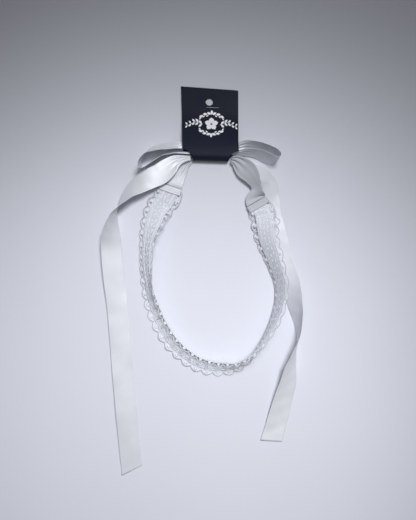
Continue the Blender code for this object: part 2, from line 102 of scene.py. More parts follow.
def cloth_grid(stations, width, thick, rows, cols, anchor=0.5, steps=40):
    """Middle surface of a flat band laid along a route, each section rolled and curled as it lies."""
    path, length = smooth_route(stations, rows)
    heading = np.gradient(path[:, :2], axis=0)
    heading /= np.linalg.norm(heading, axis=1)[:, None]
    grid = np.zeros((rows, cols, 3))
    fine = np.linspace(0.0, 1.0, steps + 1)
    ts = np.linspace(0.0, 1.0, cols)
    for i, (x, y, lift, roll, curl, share) in enumerate(path):
        # from 60 degrees of curl on, more and more of the outer edge lies flat, up to 28 percent
        flat = 0.28 * min(max((curl - 60) / 80, 0.0), 1.0)
        ang = np.radians(roll + curl * (np.maximum(fine - flat, 0) / (1 - flat) - anchor))
        w = width * share
        across = np.concatenate([[0], np.cumsum(0.5 * (np.cos(ang[1:]) + np.cos(ang[:-1])))]) * w / steps
        up = np.concatenate([[0], np.cumsum(0.5 * (np.sin(ang[1:]) + np.sin(ang[:-1])))]) * w / steps
        across -= np.interp(anchor, fine, across)
        up += lift + thick / 2 - up.min()
        a = np.interp(ts, fine, across)
        grid[i] = np.stack([x - heading[i, 1] * a, y + heading[i, 0] * a, np.interp(ts, fine, up)], 1)
    return grid, length


def grid_normals(grid):
    """Unit normals of a grid of points."""
    nrm = np.cross(np.gradient(grid, axis=0), np.gradient(grid, axis=1))
    return nrm / np.maximum(np.linalg.norm(nrm, axis=2), 1e-9)[..., None]


def new_piece(name, verts, faces, mat):
    """A smooth piece from vertices in millimetres, its faces turned outwards."""
    mesh = bpy.data.meshes.new(name)
    mesh.from_pydata([tuple(v) for v in to_row(verts)], [], faces)
    mesh.polygons.foreach_set("use_smooth", [True] * len(mesh.polygons))
    mesh.materials.append(mat)
    obj = bpy.data.objects.new(name, mesh)
    bpy.context.collection.objects.link(obj)
    bm = bmesh.new()
    bm.from_mesh(mesh)
    bmesh.ops.recalc_face_normals(bm, faces=bm.faces)
    bm.to_mesh(mesh)
    bm.free()
    return obj


def node_material(name, colour, rough):
    """A plain finish, with its node tree and shader for what is added to it."""
    mat = bpy.data.materials.new(name)
    mat.use_nodes = True
    shader = mat.node_tree.nodes["Principled BSDF"]
    shader.inputs["Base Color"].default_value = (*colour, 1.0)
    shader.inputs["Roughness"].default_value = rough
    return mat, mat.node_tree, shader


def wire(tree, kind, inputs=None, links=None, **settings):
    """One shader node, with its settings, values and incoming links."""
    node = tree.nodes.new(kind)
    for key, value in settings.items():
        setattr(node, key, value)
    for key, value in (inputs or {}).items():
        node.inputs[key].default_value = value
    for key, source in (links or {}).items():
        tree.links.new(source, node.inputs[key])
    return node


def fine_noise(tree, scale, detail, rough=0.5):
    """Noise that keeps its place on the piece, scale times a metre."""
    place = wire(tree, "ShaderNodeTexCoord")
    noise = wire(tree, "ShaderNodeTexNoise", {"Scale": scale, "Detail": detail, "Roughness": rough},
                 {"Vector": place.outputs["Object"]})
    return noise.outputs["Fac"]


def two_tones(tree, shader, pattern, low, dark, high, light):
    """Colour that goes from dark, where the pattern is low, to light, where it is high."""
    tones = wire(tree, "ShaderNodeValToRGB", links={"Fac": pattern})
    for stop, at, colour in ((0, low, dark), (1, high, light)):
        tones.color_ramp.elements[stop].position = at
        tones.color_ramp.elements[stop].color = (*colour, 1)
    tree.links.new(tones.outputs["Color"], shader.inputs["Base Color"])


def relief(tree, shader, pattern, strength, depth):
    """Small unevenness of the surface, depth in metres."""
    bump = wire(tree, "ShaderNodeBump", {"Strength": strength, "Distance": depth}, {"Height": pattern})
    tree.links.new(bump.outputs["Normal"], shader.inputs["Normal"])


def uneven_gloss(tree, shader, pattern, smooth, rough):
    """Roughness that follows the pattern between two values."""
    gloss = wire(tree, "ShaderNodeMapRange", {"To Min": smooth, "To Max": rough}, {"Value": pattern})
    tree.links.new(gloss.outputs["Result"], shader.inputs["Roughness"])


def thread_material(name, groove_shade, crest):
    """Matt cotton thread, with painted shade making it a little darker in the grooves between its plies.
    """
    mat, tree, shader = node_material(name, crest, 0.78)
    plies = fine_noise(tree, 2600.0, 2.0, 0.6)
    # painted shade: the colour is darker where the ply relief is low
    two_tones(tree, shader, plies, 0.3, groove_shade, 0.7, crest)
    relief(tree, shader, plies, 0.35, 0.0001)
    shader.inputs["Sheen Weight"].default_value = 0.15
    shader.inputs["Specular IOR Level"].default_value = 0.3
    return mat


lace_mat = thread_material("lace_thread", (0.84, 0.86, 0.92), (0.94, 0.96, 1.0))
# the outline cord's grey is painted shade: it is the same white thread, darkened for the shade along a
# thick cord
cord_shade_mat = thread_material("lace_cord_painted_shade", (0.50, 0.52, 0.56), (0.62, 0.64, 0.68))

lace_surface, lace_run = cloth_grid(LACE_ROUTE, LACE_W, LACE_T, 16 * SCALLOPS + 1, 29, anchor=0.0)
lace_normal = grid_normals(lace_surface)
PERIOD = lace_run / SCALLOPS

# one repeat of the pattern, flat: s runs along the lace, t across it, h stands off its face
repeat_verts, repeat_faces = [], []


def thread(points, radius, sides):
    """A closed round thread along flat (s, t) or (s, t, h) points of the repeat."""
    pts = np.array([(p[0], p[1], p[2] if len(p) > 2 else 0.0) for p in points], float)
    tan = np.gradient(pts, axis=0)
    tan /= np.maximum(np.linalg.norm(tan, axis=1), 1e-9)[:, None]
    side = np.cross(tan, (0.0, 0.0, 1.0))
    side /= np.maximum(np.linalg.norm(side, axis=1), 1e-9)[:, None]
    up = np.cross(side, tan)
    base = len(repeat_verts)
    for p, a, b in zip(pts, side, up):
        for k in range(sides):
            turn = 2 * math.pi * (k + 0.5) / sides
            repeat_verts.append(p + radius * (math.cos(turn) * a + math.sin(turn) * b))
    for i in range(len(pts) - 1):
        for k in range(sides):
            a, b = base + i * sides + k, base + i * sides + (k + 1) % sides
            repeat_faces.append((a, b, b + sides, a + sides))
    repeat_faces.append(tuple(base + k for k in reversed(range(sides))))
    repeat_faces.append(tuple(base + (len(pts) - 1) * sides + k for k in range(sides)))


def petal(s, t, long, wide, angle, thick, sides=8):
    """A filled petal or leaf of close stitching, pointed at its root, domed on both faces."""
    c, n = math.cos(math.radians(angle)), math.sin(math.radians(angle))
    base = len(repeat_verts)
    for h in (-0.5, 0.5):
        for k in range(sides):
            a = 2 * math.pi * k / sides
            u = 0.5 * long * (1 - math.cos(a))
            v = 0.5 * wide * math.sin(a) * (0.55 + 0.36 * (1 - math.cos(a)))
            repeat_verts.append(np.array([s + u * c - v * n, t + u * n + v * c, h * thick * 0.45]))
    for h, first in ((-1, 0), (1, sides)):
        repeat_verts.append(np.array([s + 0.55 * long * c, t + 0.55 * long * n, h * thick * 0.9]))
        for k in range(sides):
            a, b = base + first + k, base + first + (k + 1) % sides
            repeat_faces.append((base + 2 * sides, b, a) if h < 0 else (base + 2 * sides + 1, a, b))
    for k in range(sides):
        a, b = base + k, base + (k + 1) % sides
        repeat_faces.append((a, b, b + sides, a + sides))


def edge_at(s):
    """How far the scalloped edge is set in from the full width."""
    return SCALLOP_DEPTH * (1 - abs(math.sin(math.pi * s / PERIOD)))


def from_edge(points, far):
    """Points measured in from the near edge, or from the far one."""
    return [(p[0], LACE_W - p[1], *p[2:]) if far else p for p in points]


def along_repeat(count):
    """Evenly spaced places along one repeat."""
    return np.linspace(0, PERIOD, count)


half_w = LACE_W / 2
cord_faces = set()                     # the outline cord gets painted shade, a darker grey than the soft thread
for far in (False, True):
    start = len(repeat_faces)
    thread(from_edge([(s, edge_at(s) + 0.34, 0.12) for s in along_repeat(25)], far), 0.34, 5)
    cord_faces |= set(range(start, len(repeat_faces)))
    thread(from_edge([(s, edge_at(s) * 0.92 + 1.25, 0.0) for s in along_repeat(25)], far), 0.14, 4)
    wavy = [(s, 5.9 + 0.5 * math.cos(2 * math.pi * s / PERIOD), 0.05) for s in along_repeat(19)]
    thread(from_edge(wavy, far), 0.20, 4)
    for k in range(9):                 # short bars between the outline and the thread beside it
        s = PERIOD * (k + 0.5) / 9
        thread(from_edge([(s, edge_at(s) + 0.4), (s + 0.2, edge_at(s) * 0.92 + 1.2)], far), 0.11, 3)
    for k in range(6):                 # a filled flower in each scallop
        petal(PERIOD / 2, LACE_W - 3.75 if far else 3.75, 1.95, 1.0, 60 * k + 30, 0.34)
    for s in (0.04, 0.96):
        thread(from_edge([(PERIOD * s, 3.1), (PERIOD * s, 6.2)], far), 0.15, 3)
    for s, a in ((0.10, 150), (0.90, 30)):   # a leaf on each side of the dip
        petal(PERIOD * s, LACE_W - 6.6 if far else 6.6, 1.7, 0.75, a if far else -a, 0.3)
    outer_cord = [(s, 8.25 + 0.08 * math.sin(6 * math.pi * s / PERIOD), 0.1) for s in along_repeat(9)]
    thread(from_edge(outer_cord, far), 0.27, 4)
    thread(from_edge([(s, 9.45, 0.1) for s in along_repeat(7)], far), 0.21, 4)
    for k in range(7):                 # zigzag between the two straight cords
        s = PERIOD * k / 7
        thread(from_edge([(s, 8.3), (s + PERIOD / 14, 9.4), (s + PERIOD / 7, 8.3)], far), 0.10, 3)

# down the middle: a waving stem with leaves, and a small blossom on each side of it
thread([(s, half_w + 1.5 * math.sin(2 * math.pi * s / PERIOD), 0.12) for s in along_repeat(17)], 0.2, 4)
for s, t, a in ((0.12, 0.9, 50), (0.12, 0.9, 105), (0.62, -0.9, -50), (0.62, -0.9, -105)):
    petal(PERIOD * s, half_w + t, 2.4, 1.0, a, 0.32)
for k in range(5):
    petal(PERIOD * 0.25, half_w - 2.0, 1.1, 0.7, 72 * k, 0.3)
    petal(PERIOD * 0.75, half_w + 2.0, 1.1, 0.7, 72 * k, 0.3)

repeat_verts = np.array(repeat_verts)


def lay_on_lace(flat):
    """Flat pattern points to their place on the laid band."""
    rows, cols = lace_surface.shape[:2]
    u = np.clip(flat[:, 0] / lace_run, 0, 1) * (rows - 1)
    v = np.clip(flat[:, 1] / LACE_W, 0, 1) * (cols - 1)
    i, j = np.minimum(u.astype(int), rows - 2), np.minimum(v.astype(int), cols - 2)
    fu, fv = (u - i)[:, None], (v - j)[:, None]

    def blend4(g):
        return ((1 - fu) * (1 - fv) * g[i, j] + fu * (1 - fv) * g[i + 1, j]
                + (1 - fu) * fv * g[i, j + 1] + fu * fv * g[i + 1, j + 1])
    return blend4(lace_surface) + blend4(lace_normal) * flat[:, 2:3]


# sheer net ground between the worked threads: a fine hexagonal mesh, mostly air
ground_mat, tree, shader = node_material("lace_ground", (0.84, 0.86, 0.91), 0.8)
place = wire(tree, "ShaderNodeTexCoord")
cells = wire(tree, "ShaderNodeTexVoronoi", {"Scale": 1900.0, "Randomness": 0.3},
             {"Vector": place.outputs["Object"]}, feature="DISTANCE_TO_EDGE")
mesh_gap = wire(tree, "ShaderNodeMapRange",
                {"From Min": 0.05, "From Max": 0.16, "To Min": 0.92, "To Max": 0.46},
                {"Value": cells.outputs["Distance"]})
tree.links.new(mesh_gap.outputs["Result"], shader.inputs["Alpha"])
shader.inputs["Specular IOR Level"].default_value = 0.2

GROUND_COLS, GROUND_STEPS, GROUND_HALF, GROUND_RIM = 13, 10, 0.03, 5.4
THREAD_SLOT, GROUND_SLOT, CORD_SHADE_SLOT = 0, 1, 2
END_SLACK = 0.3                        # thread may run this far past the ends of the lace


def worked_threads(first, last):
    """The threads of some repeats, laid on the band: points, faces and each face's slot."""
    points, faces, slots = [], [], []
    for k in range(first, last):
        shifted = repeat_verts + (k * PERIOD, 0, 0)
        keep = (shifted[:, 0] > -END_SLACK) & (shifted[:, 0] < lace_run + END_SLACK)
        base = len(points) * len(repeat_verts)
        points.append(lay_on_lace(shifted))
        for n, face in enumerate(repeat_faces):
            if all(keep[c] for c in face):
                faces.append(tuple(base + c for c in face))
                slots.append(CORD_SHADE_SLOT if n in cord_faces else THREAD_SLOT)
    points = np.vstack(points)
    used = np.zeros(len(points), bool)
    used[[c for face in faces for c in face]] = True
    renumbered = np.cumsum(used) - 1
    return points[used], [tuple(int(renumbered[c]) for c in face) for face in faces], slots


def net_ground(first, last, base):
    """The closed sheer sheet under some repeats: points, and faces numbered from base on."""
    steps = (last - first) * GROUND_STEPS + 1
    points = []
    for height in (GROUND_HALF, -GROUND_HALF):
        for s in np.linspace(first * PERIOD, last * PERIOD, steps):
            points += [(s, GROUND_RIM + (LACE_W - 2 * GROUND_RIM) * t, height)
                       for t in np.linspace(0, 1, GROUND_COLS)]

    def corner(i, j, below=0):
        return base + (below * steps + i) * GROUND_COLS + j
    faces, last_row, last_col = [], steps - 1, GROUND_COLS - 1
    for i in range(last_row):
        for j in range(last_col):
            faces.append((corner(i, j), corner(i, j + 1), corner(i + 1, j + 1), corner(i + 1, j)))
            faces.append((corner(i, j, 1), corner(i + 1, j, 1),
                          corner(i + 1, j + 1, 1), corner(i, j + 1, 1)))
        faces.append((corner(i, 0), corner(i + 1, 0), corner(i + 1, 0, 1), corner(i, 0, 1)))
        faces.append((corner(i, last_col), corner(i, last_col, 1),
                      corner(i + 1, last_col, 1), corner(i + 1, last_col)))
    for j in range(last_col):
        faces.append((corner(0, j), corner(0, j, 1), corner(0, j + 1, 1), corner(0, j + 1)))
        faces.append((corner(last_row, j), corner(last_row, j + 1),
                      corner(last_row, j + 1, 1), corner(last_row, j, 1)))
    return lay_on_lace(np.array(points)), faces


LACE_PARTS = 3                         # the length is cut between repeats, so that no mesh is too heavy
for part in range(LACE_PARTS):
    first, last = part * SCALLOPS // LACE_PARTS, (part + 1) * SCALLOPS // LACE_PARTS
    threads, faces, slots = worked_threads(first, last)
    ground, ground_faces = net_ground(first, last, len(threads))
    points = np.vstack([threads, ground])
    piece = new_piece("lace_part_%d" % (part + 1), points, faces + ground_faces, lace_mat)
    piece.data.materials.append(ground_mat)
    # the third slot holds the outline cord's painted shade
    piece.data.materials.append(cord_shade_mat)
    piece.data.polygons.foreach_set("material_index", slots + [GROUND_SLOT] * len(ground_faces))
    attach(piece, "band")
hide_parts("lace_band")

# -------------------------------------------------------------- ribbon tabs
# The end of each 20 mm satin ribbon is folded over the raw end of the lace, so a closed pocket
# 5.4 mm deep grips it from both sides. It is held by one row of hand stitches through all layers.

RIBBON_W, RIBBON_T = 20.0, 0.24
RIBBON_ROOM = 0.5                      # height that one layer of ribbon takes up as it lies
TAB_W, TAB_DEEP, TAB_OPEN = 21.0, 5.4, 0.35
STITCH_LINE = 0.62                     # where the stitches cross, as a share of the tab's depth

# satin has a glossy face, where the warp floats lie along the ribbon, and a matt back; a darker, duller
# copy of the back is painted shade for the right leg and right tab, which lie turned away from the lamps
satin_side = {}
for side, dim, bright, dull, gloss_low, gloss_high in (
        ("face", (0.76, 0.77, 0.81), (0.86, 0.87, 0.90), 0.0, 0.42, 0.53),
        ("back", (0.67, 0.68, 0.72), (0.76, 0.77, 0.81), 0.6, 0.46, 0.56),
        ("back_painted_shade", (0.50, 0.51, 0.55), (0.57, 0.58, 0.62), 1.0, 0.60, 0.68)):
    satin_mat, tree, shader = node_material("satin_" + side, bright, gloss_high)
    cloth_uv = wire(tree, "ShaderNodeUVMap", uv_map="cloth")
    floats = wire(tree, "ShaderNodeMapping", {"Scale": (26.0, 2.2, 1.0)},
                  {"Vector": cloth_uv.outputs["UV"]})
    warp = wire(tree, "ShaderNodeTexNoise", {"Scale": 4.0, "Detail": 3.0, "Roughness": 0.55},
                {"Vector": floats.outputs["Vector"]})
    weft = wire(tree, "ShaderNodeTexWave", {"Scale": 9.0, "Distortion": 0.6, "Detail": 1.0},
                {"Vector": cloth_uv.outputs["UV"]}, bands_direction="Y")
    weave = wire(tree, "ShaderNodeMix", {"Factor": 0.25 + 0.4 * dull}, data_type="FLOAT")
    tree.links.new(warp.outputs["Fac"], weave.inputs[2])
    tree.links.new(weft.outputs["Fac"], weave.inputs[3])
    relief(tree, shader, weave.outputs[0], 0.22, 0.00006)
    cloud = wire(tree, "ShaderNodeTexNoise", {"Scale": 0.35, "Detail": 2.0},
                 {"Vector": cloth_uv.outputs["UV"]})
    two_tones(tree, shader, cloud.outputs["Fac"], 0.25, dim, 0.75, bright)
    uneven_gloss(tree, shader, warp.outputs["Fac"], gloss_low, gloss_high)
    run_along = wire(tree, "ShaderNodeTangent", direction_type="UV_MAP", uv_map="cloth")
    tree.links.new(run_along.outputs["Tangent"], shader.inputs["Tangent"])
    shader.inputs["Anisotropic"].default_value = 0.5 - 0.4 * dull
    shader.inputs["Metallic"].default_value = 0.17 - 0.13 * dull
    shader.inputs["Specular IOR Level"].default_value = 0.6 - 0.3 * dull
    shader.inputs["Sheen Weight"].default_value = 0.1
    satin_side[side] = satin_mat


def satin_strip(name, grid, width, face_up, back="back"):
    """Closed thin cloth over a grid of middle points, mapped in centimetres across and along."""
    rows, cols = grid.shape[:2]
    off = grid_normals(grid) * RIBBON_T / 2
    verts = np.concatenate([(grid + off).reshape(-1, 3), (grid - off).reshape(-1, 3)])
    n = rows * cols
    faces = []
    for i in range(rows - 1):
        for j in range(cols - 1):
            a = i * cols + j
            faces.append((a, a + 1, a + cols + 1, a + cols))
            faces.append((n + a, n + a + cols, n + a + cols + 1, n + a + 1))
    rim = [j for j in range(cols)]
    rim += [i * cols + cols - 1 for i in range(1, rows)]
    rim += [(rows - 1) * cols + j for j in range(cols - 2, -1, -1)]
    rim += [i * cols for i in range(rows - 2, 0, -1)]
    for a, b in zip(rim, rim[1:] + rim[:1]):
        faces.append((a, n + a, n + b, b))
    piece = new_piece(name, verts, faces, satin_side["face" if face_up else back])
    piece.data.materials.append(satin_side[back if face_up else "face"])
    under = [0 if max(f) < n else 1 for f in faces]
    piece.data.polygons.foreach_set("material_index", under)
    centre = grid[:, cols // 2]
    along = np.concatenate([[0], np.cumsum(np.linalg.norm(np.diff(centre, axis=0), axis=1))]) / 10
    across = np.linspace(0, width / 10, cols)
    uv = piece.data.uv_layers.new(name="cloth")
    corner = np.zeros(len(piece.data.loops), int)
    piece.data.loops.foreach_get("vertex_index", corner)
    corner %= n
    uv.data.foreach_set("uv", np.stack([across[corner % cols], along[corner // cols]], 1).ravel())
    return piece, along[-1] * 10


def fold_tab(name, end_row, inner_row):
    """The ribbon end folded round the lace end, with the closed side towards the leg."""
    a, b = end_row[0], end_row[-1]
    mid = (a + b) / 2
    along = (b - a) / np.linalg.norm(b - a)
    inward = inner_row.mean(axis=0) - end_row.mean(axis=0)
    inward -= along * np.dot(inward, along)
    inward /= np.linalg.norm(inward)
    up = np.cross(along, inward)
    up = -up if up[2] < 0 else up
    off = LACE_T / 2 + TAB_OPEN + RIBBON_ROOM / 2
    path = [(TAB_DEEP * u, -off) for u in np.linspace(1, 0, 13)[:-1]]
    path += [(-off * math.sin(t), -off * math.cos(t)) for t in np.linspace(0, math.pi, 13)]
    path += [(TAB_DEEP * u, off) for u in np.linspace(0, 1, 13)[1:]]
    cols = 25
    grid = np.zeros((len(path), cols, 3))
    for i, (s, h) in enumerate(path):
        for j in range(cols):
            u = j / (cols - 1) - 0.5
            stitch_pull = math.exp(-((s - STITCH_LINE * TAB_DEEP) / 1.3) ** 2)
            pucker = 0.10 * math.sin(24.0 * u + 0.8) * stitch_pull
            wave = 0.14 * math.sin(7.0 * u + (1 if h > 0 else 2)) * s / TAB_DEEP
            grid[i, j] = (mid + along * TAB_W * u + inward * (s - TAB_OPEN + wave)
                          + up * (h - np.sign(h) * abs(pucker)))
    # the back of the ribbon is outside on the tab
    # the right tab takes the darker back, painted shade for a tab turned away from the lamps
    piece, run = satin_strip(name + "_satin", grid, TAB_W, face_up=False,
                             back="back" if name == "left_tab" else "back_painted_shade")
    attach(piece, "band")
    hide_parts(name)
    return mid, inward, along, up, off


def between_dips(row):
    """A row across the lace without the tenth at each edge that the scallops' dips leave open."""
    return np.array([row[0] + (row[-1] - row[0]) * u for u in np.linspace(0.1, 0.9, len(row))])


lace_ends, _ = cloth_grid(LACE_ROUTE, LACE_W, LACE_T, 6 * SCALLOPS + 1, 7, anchor=0.0)
tab_seat = {"left": fold_tab("left_tab", between_dips(lace_ends[0]), between_dips(lace_ends[3])),
            "right": fold_tab("right_tab", between_dips(lace_ends[-1]), between_dips(lace_ends[-4]))}

# ------------------------------------------------------------- tab stitches
# A single row of short running stitches in white sewing thread, 0.45 mm thick, crosses each tab.
# Every stitch dives into the ribbon at both ends, so it sits as a little arch on the satin.

thread_mat, tree, shader = node_material("white_thread", (0.80, 0.81, 0.84), 0.6)
ply = fine_noise(tree, 3200.0, 1.0)
two_tones(tree, shader, ply, 0.0, (0.60, 0.61, 0.65), 1.0, (0.88, 0.89, 0.92))
relief(tree, shader, ply, 0.4, 0.00005)

STITCHES, STITCH_PITCH, STITCH_RISE = 9, 2.05, 0.19
bpy.ops.object.select_all(action="DESELECT")
bpy.ops.mesh.primitive_cylinder_add(vertices=8, radius=0.000225, depth=0.0006, end_fill_type="NGON",
                                    location=(0, 0, 0), rotation=(0, math.pi / 2, 0))
stitch = bpy.context.object
bpy.ops.object.transform_apply(location=False, rotation=True, scale=False)
for way in (1, -1):
    bpy.ops.object.mode_set(mode="EDIT")
    bpy.ops.mesh.select_mode(type="FACE")
    bpy.ops.mesh.select_all(action="DESELECT")
    bpy.ops.object.mode_set(mode="OBJECT")
    for face in stitch.data.polygons:
        face.select = face.normal.x * way > 0.9
    bpy.ops.object.mode_set(mode="EDIT")
    # three short steps, each lower and thinner, bring the end down into the ribbon
    for step_x, step_z, size in ((0.00028, -0.00008, 0.92), (0.00022, -0.00016, 0.85),
                                 (0.0001, -0.00016, 0.7)):
        bpy.ops.mesh.extrude_region_move(TRANSFORM_OT_translate={"value": (way * step_x, 0, step_z)})
        bpy.ops.transform.resize(value=(1, size, size))
    bpy.ops.object.mode_set(mode="OBJECT")
bpy.ops.object.shade_smooth()
stitch.data.materials.append(thread_mat)


def join_copies(copies, name):
    """All copies made one object."""
    bpy.ops.object.select_all(action="DESELECT")
    for one in copies:
        one.select_set(True)
    bpy.context.view_layer.objects.active = copies[0]
    bpy.ops.object.join()
    joined = bpy.context.object
    joined.name = name
    return joined


for side in ("left", "right"):
    mid, inward, along, up, off = tab_seat[side]
    copies = []
    for k in range(STITCHES):
        u = (k - STITCHES // 2) * STITCH_PITCH
        unsteady = 0.12 * math.sin(k * 2.4)
        at = (mid + along * u + inward * (TAB_DEEP * STITCH_LINE - TAB_OPEN + unsteady)
              + up * (off + STITCH_RISE))
        one = stitch.copy()
        one.data = stitch.data.copy()
        bpy.context.collection.objects.link(one)
        spin = Matrix([list(along), list(np.cross(up, along)), list(up)]).transposed().to_4x4()
        one.data.transform(Matrix.Translation(Vector(to_row(at))) @ spin)
        copies.append(one)
    row_of_stitches = join_copies(copies, side + "_stitches")
    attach(row_of_stitches, "band")
    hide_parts(side + "_tab_stitches")
bpy.data.objects.remove(stitch)

# -------------------------------------------------------------- ribbon runs
# One satin ribbon on each side: from its tab a leg runs up to the card, is gathered in the fold,
# comes out as one loop of the bow, goes back and leaves again as the long tail with a slant cut.
# Where the fold grips it the cloth is pleated small, and the pleats open out over 30 mm or so.

# stations as for the lace, along the middle of the ribbon
RUNS = {  # name: body, how held, rows, pleats, slant of the cut end, stations
    "left_loop": ("card", "folded", 170, 3, 0.0, [
        (-18.4, 11.6, 2.0, 34, 10, 0.38), (-28.0, 13.2, 1.8, 40, 20, 0.52),
        (-38.0, 12.4, 0.9, 52, 20, 0.74), (-47.0, 10.6, 0.4, 62, 20, 0.92),
        (-55.0, 8.6, 0.2, 68, 15, 1.0), (-62.0, 4.8, 0.2, 76, 8, 1.0),
        (-66.4, -2.2, 0.2, 86, 0, 1.0), (-66.2, -8.4, 0.2, 96, 0, 0.94),
        (-61.6, -7.0, 0.3, 102, -6, 0.84), (-53.6, -0.8, 0.5, 106, -10, 0.74),
        (-45.8, 4.0, 1.0, 110, -12, 0.60), (-38.0, 6.4, 1.5, 110, -10, 0.46),
        (-28.0, 6.7, 2.2, 108, -8, 0.34), (-18.4, 6.4, 2.4, 106, 0, 0.28)]),
    "right_loop": ("card", "folded", 160, 3, 0.0, [
        (18.4, 6.6, 2.4, 74, 0, 0.28), (28.0, 6.8, 2.2, 68, 8, 0.38),
        (36.0, 6.6, 1.5, 66, 10, 0.58), (44.0, 5.2, 0.8, 66, 10, 0.76),
        (51.5, 1.8, 0.3, 68, 8, 0.90), (58.0, -1.2, 0.2, 76, 0, 0.96),
        (63.4, 0.4, 0.2, 90, 0, 0.96), (61.6, 5.0, 0.2, 100, -4, 0.94),
        (54.0, 9.0, 0.2, 104, -8, 0.92), (45.0, 12.2, 0.4, 106, -12, 0.82),
        (35.0, 14.0, 0.8, 116, -14, 0.62), (27.0, 12.9, 1.6, 134, -12, 0.42),
        (18.4, 11.6, 1.8, 144, -10, 0.34)]),
    "left_leg": ("band", "gathered", 60, 3, 0.0, [
        (-19.2, -0.2, 2.4, -6, 20, 0.24), (-23.8, -3.4, 2.2, -8, 24, 0.40),
        (-28.6, -9.3, 2.0, -8, 18, 0.66), (-32.2, -14.4, 2.2, -4, 8, 0.82)]),
    "right_leg": ("band", "gathered", 80, 3, 0.0, [
        (19.2, 0.4, 4.8, 18, 20, 0.28), (24.9, -2.0, 4.8, 18, 16, 0.62),
        (32.7, -9.6, 4.6, 22, 16, 0.96), (39.4, -18.3, 5.6, 34, 10, 0.78),
        (43.2, -27.2, 4.6, 36, 10, 0.54)]),
    "left_tail": ("left_tail", "laid", 300, 3, 7.5, [
        (-19.2, 1.8, 5.4, 6, 24, 0.24), (-26.2, 0.6, 5.8, 8, 30, 0.36),
        (-33.9, -2.4, 6.4, 8, 30, 0.66), (-40.6, -8.0, 7.2, 6, 24, 0.92),
        (-48.3, -14.5, 8.0, 2, 18, 1.0), (-59.6, -19.5, 8.0, 6, 16, 1.0),
        (-68.6, -25.3, 4.2, 28, 14, 1.0), (-76.2, -31.1, 1.8, 46, 14, 1.0),
        (-82.7, -38.6, 0.7, 60, 14, 1.0), (-87.7, -46.8, 0.3, 80, 14, 1.0),
        (-90.3, -52.3, 0.1, 96, 16, 1.0), (-91.7, -58.3, 0.1, 109, 18, 1.0),
        (-92.8, -64.4, 0.0, 122, 20, 1.0), (-93.9, -72.2, 0.0, 138, 20, 1.0),
        (-94.4, -84.5, 0.0, 156, 18, 1.0), (-92.8, -108.5, 0.0, 162, 16, 1.0),
        (-89.9, -134.4, 0.0, 170, 12, 1.0), (-87.4, -162.2, 0.0, 172, 12, 1.0),
        (-85.0, -196.8, 0.0, 174, 10, 1.0), (-81.6, -232.3, 0.0, 170, 20, 1.0),
        (-79.2, -259.2, 0.0, 172, 12, 1.0), (-75.6, -296.6, 0.0, 176, 6, 1.0)]),
    "right_tail": ("right_tail", "laid", 270, 3, 5.0, [
        (19.2, 1.0, 2.2, -2, 10, 0.20), (26.5, -1.4, 1.8, -6, 16, 0.32),
        (35.0, -4.2, 1.0, -16, 16, 0.54), (43.4, -9.4, 0.5, -24, 10, 0.78),
        (50.4, -16.0, 0.4, -32, -10, 0.92), (54.4, -25.0, 0.3, -14, -12, 0.98),
        (56.0, -37.0, 0.2, -2, -4, 1.0), (58.4, -52.9, 0.1, 0, 4, 1.0),
        (62.0, -68.2, 0.1, 6, 6, 1.0), (68.6, -95.0, 0.1, 12, 10, 1.0),
        (76.4, -120.7, 0.1, 34, 16, 1.0), (81.0, -143.2, 0.1, 62, 24, 1.0),
        (82.4, -155.3, 0.1, 78, 28, 1.0), (82.0, -168.5, 0.1, 94, 26, 1.0),
        (79.0, -182.1, 0.1, 112, 20, 1.0), (74.9, -197.8, 0.1, 134, 6, 1.0),
        (72.6, -211.6, 0.0, 150, -6, 1.0), (66.5, -236.2, 0.0, 166, 6, 1.0),
        (61.2, -256.3, 0.2, 176, 10, 1.0), (57.6, -268.0, 1.4, 180, 12, 1.0)]),
}
RIBBON_COLS = 33
TAB_GAP = 0.2                          # between the outside of a tab's fold and the leg's end
PLEAT_DEEP, FOLD_GRIP, PLEATS_FADE = 0.75, 6.0, 11.0    # deepest pleat, and how far pleats reach
FLOOR_GAP = 0.03


def into_tab(stations, side):
    """A leg's stations led on into the fold of its tab, the end point there, and the fold's direction."""
    mid, inward, along, up, off = tab_seat[side]
    end = mid - inward * (off + RIBBON_ROOM / 2 + TAB_OPEN + TAB_GAP)
    drift = end - np.array([stations[-1][0], stations[-1][1], end[2]])
    near = end - (inward + 1.5 * drift / np.linalg.norm(drift)) * 1.6
    lift = end[2] - RIBBON_ROOM / 2
    return stations + [(near[0], near[1], lift, 2, 0, 1.0), (end[0], end[1], lift, 0, 0, 1.0)], end, along


def square_to_tab(grid, end, along):
    """The leg's last fifth turned little by little until its end lies along the tab's fold."""
    turn = math.copysign(1.0, np.dot(along, grid[-1, -1] - grid[-1, 0]))
    last = len(grid) // 5
    for k in range(last):
        blend = (1 - k / last) ** 1.2
        centre = grid[-1 - k].mean(axis=0) if k else end
        straight = centre + np.outer(RIBBON_W * turn * np.linspace(-0.5, 0.5, RIBBON_COLS), along)
        grid[-1 - k] += (straight - grid[-1 - k]) * blend


def cut_slanting(grid, slant, rows=12):
    """The free end drawn out on one edge and back on the other."""
    step = grid[-1] - grid[-2]
    step /= np.linalg.norm(step, axis=1)[:, None]
    reach = np.linspace(-0.5, 0.5, RIBBON_COLS)[:, None] * slant
    for k in range(rows):
        grid[-1 - k] += step * reach * (1 - k / rows)


